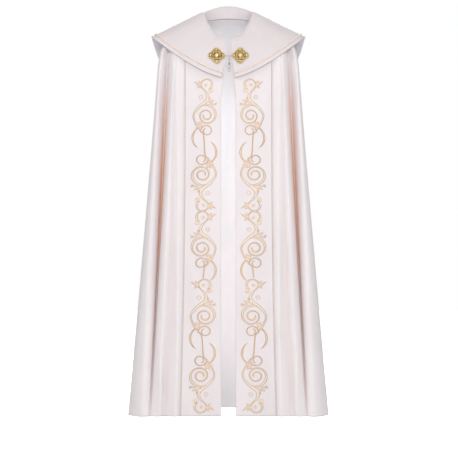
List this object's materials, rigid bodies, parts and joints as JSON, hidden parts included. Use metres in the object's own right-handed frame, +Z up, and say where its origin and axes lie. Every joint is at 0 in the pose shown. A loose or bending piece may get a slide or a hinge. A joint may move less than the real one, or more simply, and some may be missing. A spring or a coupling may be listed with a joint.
{
  "type": "cope vestment",
  "caption": "Long open-fronted church mantle of satin with a wide cape collar, flat orphrey bands down both fronts and a hooked clasp with a hanging chain.",
  "frame": {"origin": "on the garment's middle line between the wearer's shoulders, level with the tops of the shoulders", "axes": "+Z up, the open front towards -Y, the wearer's left towards +X"},
  "size_m": [0.743, 0.4519, 1.5336],
  "materials": {
    "satin": "soft satin sheen",
    "orphrey_satin": "satin with gold embroidery",
    "collar_satin": "soft satin sheen",
    "gold_piping": "twisted metallic cord",
    "clasp_gold": "antique gold, cast relief",
    "clasp_wire": "worn wire",
    "dark_bead": "dark polished"
  },
  "bodies": {
    "root": {"body": "satin", "orphrey_right": "orphrey_satin", "orphrey_left": "orphrey_satin", "orphrey_piping_right": "gold_piping", "orphrey_piping_left": "gold_piping", "collar": "collar_satin", "collar_piping": "gold_piping", "clasp_plate_right": "clasp_gold", "clasp_plate_left": "clasp_gold", "clasp_hook": "clasp_wire", "clasp_eye": "clasp_gold", "clasp_ring": "clasp_wire"},
    "chain": {"chain_link_upper": "clasp_wire", "chain_ring_upper": "clasp_wire", "chain_link_middle": "clasp_wire", "chain_bead": "dark_bead", "chain_ring_middle": "clasp_wire", "chain_link_lower": "clasp_wire", "chain_ring_end": "clasp_wire"}
  },
  "joints": [
    {"name": "chain_swing", "type": "hinge", "parent": "root", "child": "chain", "pos_m": [0.0033, -0.1255, -0.105], "axis": [-1, 0, 0], "range_deg": [-20, 135]}
  ]
}
